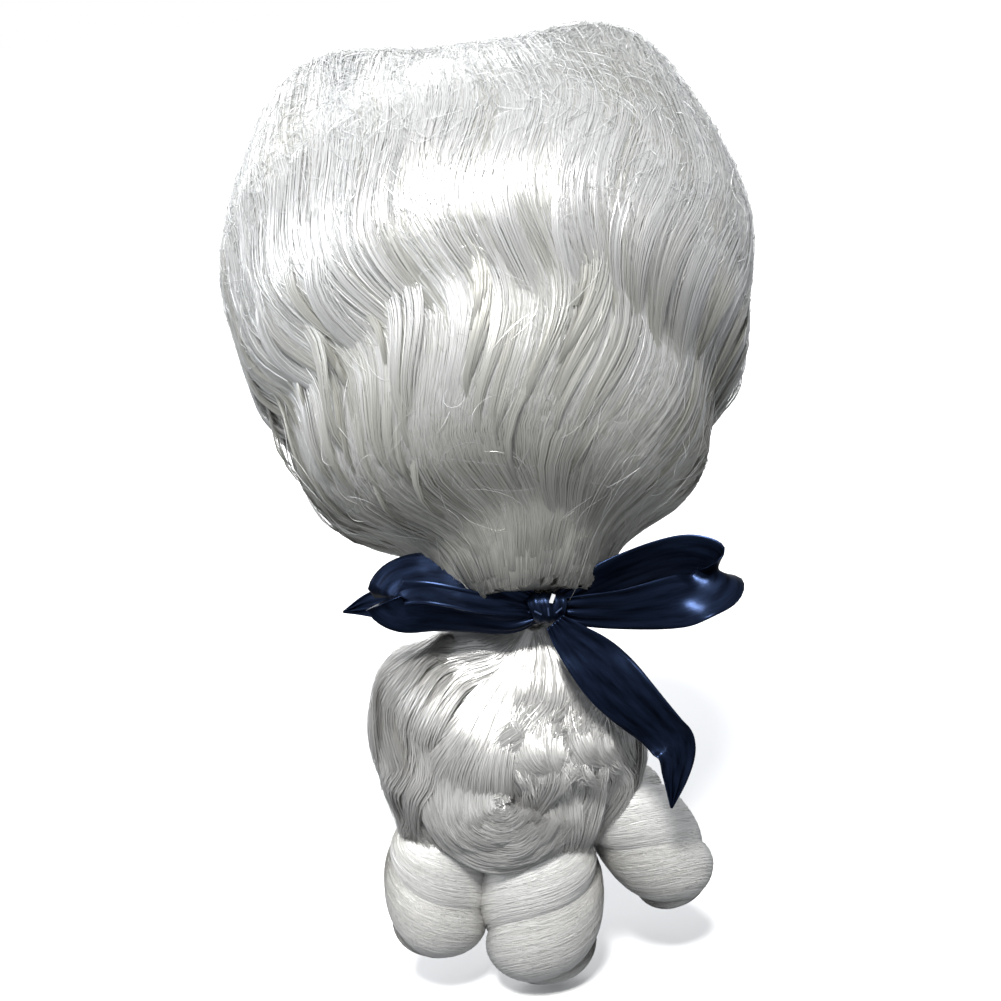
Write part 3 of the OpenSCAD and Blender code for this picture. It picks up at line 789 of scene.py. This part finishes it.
def queue_locks(name, rows, rng, front=1, half=0.13):
    paths, faces = [], []
    for wide, thick, count, out, trace in rows:
        trace = smooth_line(trace, 20)
        run = np.append(0, np.cumsum(np.linalg.norm(np.diff(trace, axis=0), axis=1)))
        crest = 2.0 * np.sin(run * 0.17 + rng.normal(-0.7, 0.3)) * ease(run, 4, 20)
        spine = on_queue(trace[:, 0], trace[:, 1], front, out + crest)
        path, face = lock_fibres(spine, wide, thick, count, rng)
        paths.append(path)
        faces.append(face)
    path, face = np.concatenate(paths), np.concatenate(faces)
    n = len(path)
    pointed = 1 - 0.7 * ease(np.linspace(0, 1, path.shape[1])[None], 0.8, 1)
    thin = half * rng.uniform(0.75, 1.25, n)[:, None] * pointed
    ob = strands(name, leaned(path), face @ lean_turn.T, thin, rng.normal(0, 0.16, n), queue_hair,
                 "queue", rng)
    return ob


# Painted shade: the queue's fibre is the same white fibre as the head's in a darker colour. The darker colour
# holds back its brightest, upward-facing parts.
queue_hair = hair_finish("queue_hair", 0.34, 0.5, (0.70, 0.695, 0.68), (0.60, 0.595, 0.575))
queue_padding_hair = hair_finish("queue_padding_hair", 0.33, 0.55, (0.75, 0.74, 0.72), (0.68, 0.67, 0.65),
                                 fine=240.0)


def closed_mass(name, rings, body, nodes, mat):
    """A closed form through rings of points in mm, pinched shut at both ends."""
    rings = np.asarray(rings)
    m, n = rings.shape[:2]
    caps = [np.repeat(rings[e].mean(0)[None], n, 0) for e in (0, -1)]
    pts = np.concatenate([caps[0][None], rings, caps[1][None]])
    u, v = np.meshgrid(np.linspace(0.005, 0.995, n), np.linspace(0.005, 0.995, m + 2))
    uvs = np.stack([u, v], -1).reshape(-1, 2)
    ob = mesh_of(name, pts.reshape(-1, 3), sheet_quads(m + 2, n), uvs, mat, body)
    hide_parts(*nodes)
    return ob


drop = np.linspace(5, -84, 44)[:, None]
angle = np.linspace(0, 2 * np.pi, 81)[None, :]
mass = 0.90 + 0.03 * np.sin(angle * 9 + drop * 0.13)
round_end = np.sqrt(np.clip(1 - ((np.abs(drop) - 58) / 30).clip(0, 1) ** 2, 0.05, 1))
mass_across = mass * round_end * np.cos(angle + 0.1 * np.sin(-drop * 0.09))
mass_width = np.where(mass_across > 0, queue_wide(drop), queue_slim(drop))
closed_mass("queue_padding",
            leaned(np.stack([mass_across * mass_width,
                             mass * queue_thick(drop) * round_end * np.sin(angle), drop + 0 * angle], -1)),
            "queue",
            ["queue_core", "queue_wave_left", "queue_wave_centre", "queue_wave_right", "queue_under"],
            queue_padding_hair)

fall_left = [
    (18, 5, 300, 0.2, [(3, 5), (14, 1), (30, -3), (45, -9), (56, -21), (58, -37), (54, -54),
                       (51, -70), (55, -86)]),
    (16, 5, 280, 1.2, [(3, 4), (14, -3), (29, -7), (43, -17), (50, -30), (50, -45), (56, -58),
                       (52, -74), (48, -90)]),
    (15, 4, 260, 2.2, [(2, 3), (12, -6), (26, -12), (38, -23), (44, -36), (43, -50), (48, -62),
                       (48, -80)]),
    (14, 4, 240, 0.0, [(3, 5), (20, 2), (40, -2), (54, -10), (61, -24), (62, -42), (61, -58), (56, -78)]),
    (14, 4, 240, 1.4, [(2, 3), (16, -4), (34, -10), (47, -22), (54, -36), (56, -50), (50, -64),
                       (40, -82)]),
]
roll = []
roll_x, roll_z, roll_radius = 13, -58, 29
roll_turns = ((1.0, 1.5), (0.86, 2.6), (0.72, 3.6), (0.58, 4.4), (0.44, 4.8), (0.30, 4.8), (0.16, 4.4),
              (0.05, 4.0))


def about_roll(r, rows):
    return [(roll_x + across * r, roll_z + down * r + drop) for across, down, drop in rows]


for share, out in roll_turns:
    r = roll_radius * share
    roll.append((11, 4, 280, out,
                 [(1, 4), (6 + 6 * share, -12), (10 + 16 * share, -28)]
                 + about_roll(r, [(0.90, 0, 14), (1, 0, 1), (0.74, -0.70, 0), (0.10, -1, 0),
                                  (-0.58, -0.84, 0), (-0.96, -0.34, 0)])))
    roll.append((9, 3, 150, out + 0.8,
                 about_roll(r, [(0.98, 0, 10), (0.9, -0.42, 0), (0.4, -0.92, 0), (-0.3, -0.95, 0),
                                (-0.8, -0.60, 0)])))
fall_middle = [
    (14, 4, 220, 2.6, [(0, 4), (3, -8), (5, -20), (13, -32), (22, -42), (22, -52), (12, -62)]),
    (12, 4, 200, 3.6, [(-2, 4), (-5, -8), (-3, -20), (4, -31), (14, -38), (16, -50)]),
    (12, 4, 200, 3.2, [(-3, 4), (-9, -8), (-9, -20), (-5, -32), (-6, -44), (-14, -54)]),
    (11, 3, 160, 4.4, [(-3, 4), (-7, -9), (-6, -22), (2, -32), (0, -42), (-8, -48)]),
    (14, 4, 200, 1.6, [(-3, 4), (-8, -10), (-12, -24), (-10, -40), (-2, -52), (8, -64)]),
    (14, 4, 200, 1.0, [(0, 4), (0, -12), (4, -28), (0, -46), (-10, -58), (-12, -72)]),
]
fan = [
    (11, 4, 200, 3.0, [(-3, 4), (-8, -8), (-13, -20), (-15, -32), (-20, -42), (-29, -48)]),
    (12, 4, 210, 2.4, [(-3, 4), (-10, -7), (-18, -18), (-23, -30), (-26, -42), (-34, -50)]),
    (13, 4, 220, 1.6, [(-4, 4), (-12, -4), (-23, -14), (-31, -28), (-35, -42), (-40, -54)]),
    (12, 4, 220, 1.0, [(-4, 4), (-13, -1), (-25, -9), (-36, -22), (-41, -38), (-42, -56)]),
    (12, 4, 200, 1.2, [(-3, 3), (-10, -10), (-17, -26), (-20, -40), (-14, -54), (-12, -66)]),
    (13, 4, 220, 0.6, [(-3, 3), (-9, -12), (-16, -28), (-24, -42), (-31, -54), (-28, -66)]),
    (12, 4, 200, 0.0, [(-3, 3), (-8, -12), (-12, -28), (-18, -44), (-20, -60), (-12, -74)]),
    (13, 4, 220, 1.8, [(-1, 3), (-3, -12), (-2, -28), (-6, -44), (-3, -58), (4, -72)]),
    (13, 4, 220, 1.4, [(0, 3), (4, -12), (9, -28), (10, -42), (4, -56), (2, -70)]),
]
under_fall = []
for x in np.linspace(-1, 1, 15):
    swing = 4 * math.sin(x * 7)
    under_fall.append((12, 4, 170, -1.0,
                       [(4 * x, 4), (18 * x, -3), (40 * x + swing, -14), (56 * x - swing, -30),
                        (57 * x + swing, -46), (58 * x - swing, -60), (50 * x, -74), (42 * x, -88)]))
layers = []
layer_rng = np.random.default_rng(12)
for wisp in range(80):
    x, z = layer_rng.uniform(-32, 16), layer_rng.uniform(-40, -14)
    way = -0.016 * x + layer_rng.normal(0, 0.35)
    bend, reach = layer_rng.normal(0, 0.6), layer_rng.uniform(4, 7)
    trace = [(x, z)]
    for _ in range(4):
        x, z = x + reach * math.sin(way), z - reach * math.cos(way)
        trace.append((x, z))
        way += bend * 0.4
    layers.append((layer_rng.uniform(2, 6), 1.0, 12, layer_rng.uniform(2.0, 4.2), trace))
queue_locks("queue_under_fall", under_fall, queue_rng)
queue_locks("queue_layers", layers, queue_rng, half=0.10)
queue_locks("queue_fall_left", fall_left, queue_rng)
queue_locks("queue_roll", roll, queue_rng)
queue_locks("queue_fall_middle", fall_middle, queue_rng)
queue_locks("queue_fan", fan, queue_rng)
inner = []
for x in np.linspace(-1, 1, 13):
    sway_x = 5 * math.sin(x * 9)
    inner.append((14, 4, 200, 0.3, [(2 * x, 4), (16 * x, -1), (38 * x, -7), (56 * x + 0.4 * sway_x, -22),
                                    (58 * x - sway_x, -42), (57 * x + sway_x, -58), (52 * x - sway_x, -70),
                                    (46 * x, -80)]))
queue_locks("queue_inner_locks", inner, queue_rng, front=-1)

bound = np.linspace(6, -6, 9)[:, None]
neck = 7.2 + 0.25 * np.sin(angle * 14)
closed_mass("bound_hair",
            leaned(np.stack([neck * np.cos(angle) + 0 * bound, neck * np.sin(angle) + 0 * bound,
                             bound + 0 * angle], -1)),
            "queue_root", ["queue_root"], queue_padding_hair)

# ---- Ringlets ----
# Three sausage curls, set over a rod: a band of fibre wound down into a barrel, each turn
# swelling a little and tucked under the one above.


# Painted light: the ringlets' fibre is the same white fibre as the head's in a lighter colour. The lighter
# colour stands in for brighter light on the curls.
ringlet_hair = hair_finish("ringlet_hair", 0.33, 0.45, (0.93, 0.925, 0.905), (0.85, 0.845, 0.82))


waist_deep = 0.17
waist_sharp = 2.4


def ringlet(word, place, tilt, radius, long, pitch, hand, seed, fibres):
    rng = np.random.default_rng(seed)
    turn = sideways_turn(math.radians(tilt))
    whole = radius + long

    def barrel(along):
        a = np.clip(2 * along / whole - 1, -1, 1)
        return radius * (1 - 0.06 * along / whole) * (1 - np.abs(a) ** 3.4) ** (1 / 2.5)

    def placed(p):
        return leaned(np.asarray(p) @ turn.T + np.array(place))

    def wound(theta, w, sink, band):
        along = (pitch * (theta / (2 * np.pi) + 0.5 * band) + w * pitch * 0.28
                 + 1.6 * np.sin(2 * theta + seed))
        along = np.clip(along, 0.02 * whole, 0.985 * whole)
        r = np.maximum(barrel(along) * (1 - waist_deep * np.abs(w) ** waist_sharp) - sink, 0.3)
        way = theta * hand
        return np.stack([r * np.cos(way), r * np.sin(way), radius - along], -1)

    steps = 24
    full = 2 * np.pi * whole / pitch
    band = rng.integers(0, 2, fibres)[:, None]
    theta0 = rng.uniform(-1.2, full - 0.8, fibres)[:, None] - np.pi * band
    span = rng.uniform(2.2, 4.4, fibres)[:, None]
    f = np.linspace(0, 1, steps)[None]
    theta = theta0 + span * f
    w = rng.uniform(-1, 1, fibres)[:, None]
    w = w + rng.normal(0, 0.16, fibres)[:, None] * np.sin(f * rng.uniform(2, 6, fibres)[:, None])
    sink = rng.uniform(-0.1, 0.5, fibres)[:, None] + 1.1 * (1 - np.sin(np.pi * f)) ** 3
    path = wound(theta, w, sink, band)
    face = unit(path * np.array([1, 1, 0.3]))
    half = 0.12 * rng.uniform(0.75, 1.25, fibres)[:, None] * (0.35 + 0.65 * np.sin(np.pi * f))
    ob = strands("ringlet_%s_fibres" % word, placed(path), (face @ turn.T) @ lean_turn.T, half,
                 rng.normal(0, 0.14, fibres), ringlet_hair, "ringlet_" + word, rng)
    rows, cols = 56, 73
    along = np.linspace(1.0, whole - 1.6, rows)[:, None]
    way = np.linspace(0, 2 * np.pi, cols)[None, :]
    w = ((2 * along / pitch - 2 * way * hand / (2 * np.pi) + 0.5) % 1 - 0.5) * 2
    r = np.maximum(barrel(along) * (1 - waist_deep * np.abs(w) ** waist_sharp) - 0.45, 0.3)
    closed_mass("ringlet_%s_padding" % word,
                placed(np.stack([r * np.cos(way), r * np.sin(way), radius - along + 0 * way], -1)),
                "ringlet_" + word, ["ringlet_" + word], ringlet_hair)


ringlet("left", (38, -2, -99.5), 0, 22.5, 36, 58, 1, 301, 3600)
ringlet("centre", (-3, 3, -104), 0, 26, 41, 62, -1, 302, 4200)
ringlet("right", (-40, -5, -80), 35, 21, 42, 60, 1, 303, 3600)
